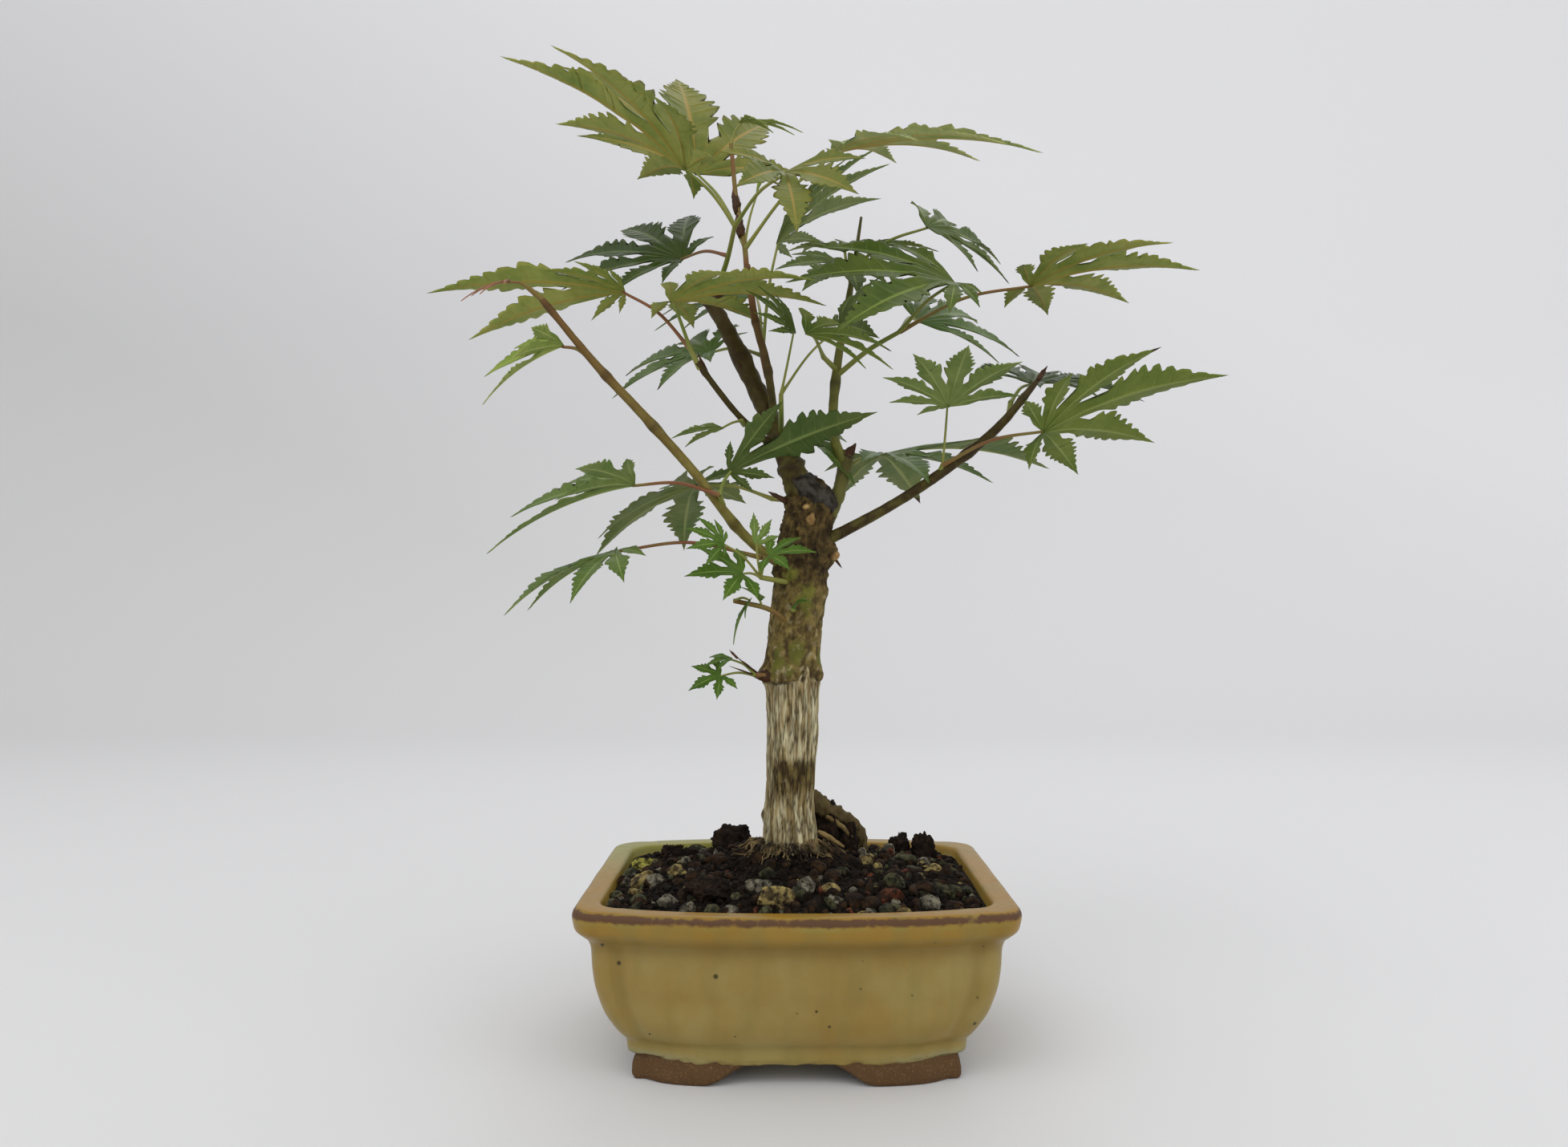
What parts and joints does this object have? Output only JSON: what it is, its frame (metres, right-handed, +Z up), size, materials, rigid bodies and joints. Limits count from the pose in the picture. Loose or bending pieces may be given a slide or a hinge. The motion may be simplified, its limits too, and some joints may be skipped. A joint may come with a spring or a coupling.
{
  "type": "potted maple bonsai",
  "caption": "Small palmate-leaved maple bonsai with a leaning trunk and open crown, in a low ochre-glazed footed pot.",
  "frame": {"origin": "under the middle of the whole plant's box, on the surface that the pot's feet stand on", "axes": "+Z up along the tree's height, +Y away from the side with the picture's view, +X to that view's right"},
  "size_m": [0.273, 0.152, 0.369],
  "materials": {
    "ochre_glaze": "satin ochre ash glaze, worn brown at the rim, with unglazed red-brown clay feet",
    "bonsai_soil": "dark crumbly soil with mixed grit of 3 to 10 mm",
    "trunk_bark": "rough fissured bark, pale below and dark above, with green patches",
    "brown_shoot": "smooth dark brown bark with olive patches",
    "green_shoot": "smooth green bark of young shoots",
    "leaf": "thin satin leaf, greyer below, with pale veins"
  },
  "bodies": {
    "root": {"pot": "ochre_glaze", "soil": "bonsai_soil", "trunk": "trunk_bark", "leader": "brown_shoot", "apex_shoot": "green_shoot", "left_shoot": "brown_shoot", "left_bough": "green_shoot", "right_bough": "brown_shoot", "cut_stub": "green_shoot", "middle_shoot": "green_shoot", "foliage_top_left": "leaf", "foliage_top_right": "leaf", "foliage_back": "leaf", "foliage_left_high": "leaf", "foliage_centre": "leaf", "foliage_left_tip": "leaf", "foliage_left_bough": "leaf", "foliage_left_low": "leaf", "foliage_left_rear": "leaf", "foliage_left_front": "leaf", "foliage_fork": "leaf", "foliage_middle_top": "leaf", "foliage_middle_right": "leaf", "foliage_middle_left": "leaf", "foliage_right_mid": "leaf", "foliage_right_tip": "leaf", "foliage_right_rear": "leaf", "foliage_trunk": "leaf", "foliage_stub": "leaf", "foliage_low_sprout": "leaf", "foliage_bud": "leaf", "withered_leaf": "leaf"}
  },
  "joints": []
}
